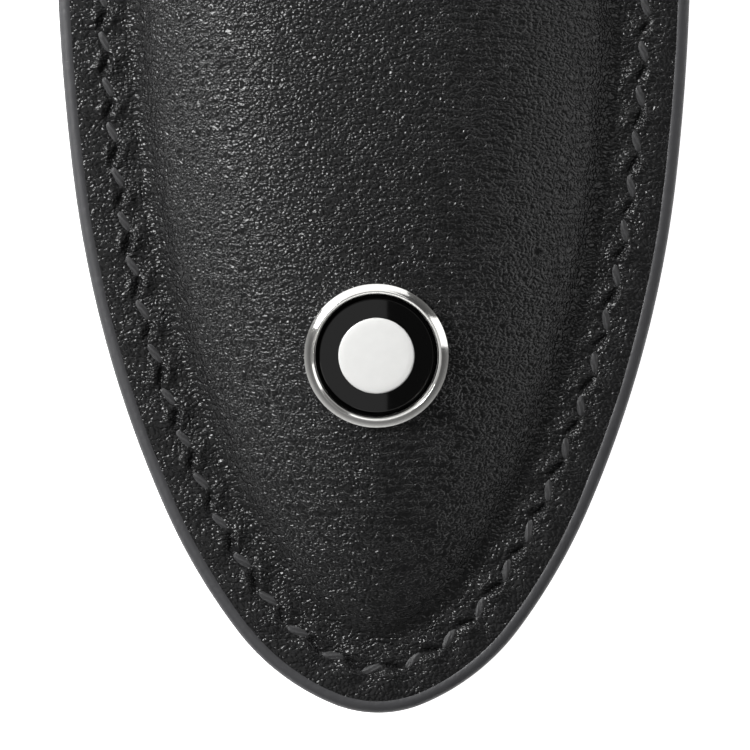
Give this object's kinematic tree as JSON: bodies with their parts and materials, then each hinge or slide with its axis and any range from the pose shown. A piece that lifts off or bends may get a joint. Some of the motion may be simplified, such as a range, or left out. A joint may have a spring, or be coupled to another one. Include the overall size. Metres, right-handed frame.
{
  "type": "fountain pen case",
  "caption": "Slim stitched leather pocket for a fountain pen, tapering to a rounded tip, with a folding magnetic flap over its mouth and a round badge.",
  "frame": {"origin": "middle of the bounding box, on the plane the case lies on", "axes": "+X across the case, +Y along it from the tip to the folded mouth, +Z from the back to the front with the badge"},
  "size_m": [0.0454, 0.159, 0.02],
  "materials": {
    "smooth_leather": "satin",
    "lining_leather": "matte",
    "interlining_board": "matte",
    "sewing_thread": "satin",
    "polished_steel": "polished",
    "black_resin": "gloss",
    "white_resin": "satin",
    "magnet_plate": "satin",
    "steel_washer": "satin"
  },
  "bodies": {
    "pocket": {"back_panel": "smooth_leather", "back_interlining": "interlining_board", "back_lining": "lining_leather", "front_panel": "smooth_leather", "front_interlining": "interlining_board", "front_lining": "lining_leather", "mouth_facing": "smooth_leather", "mouth_stitches": "sewing_thread", "seam_stitches_front": "sewing_thread", "seam_stitches_back": "sewing_thread", "catch_magnet": "magnet_plate", "emblem_bezel": "polished_steel", "emblem_disc": "black_resin", "emblem_inlay": "white_resin", "emblem_washer": "steel_washer"},
    "spine": {"spine_leather": "smooth_leather", "spine_lining": "lining_leather", "spine_stitches": "sewing_thread"},
    "flap": {"flap_leather": "smooth_leather", "flap_lining": "lining_leather", "flap_stiffener": "interlining_board", "flap_magnet": "magnet_plate", "flap_stitches": "sewing_thread"}
  },
  "joints": [
    {"name": "back_fold", "type": "hinge", "parent": "pocket", "child": "spine", "pos_m": [0, 0.07925, 0.0019], "axis": [-1, 0, 0], "range_deg": [0, 90]},
    {"name": "front_fold", "type": "hinge", "parent": "spine", "child": "flap", "pos_m": [0, 0.07925, 0.0181], "axis": [-1, 0, 0], "range_deg": [0, 90]}
  ]
}
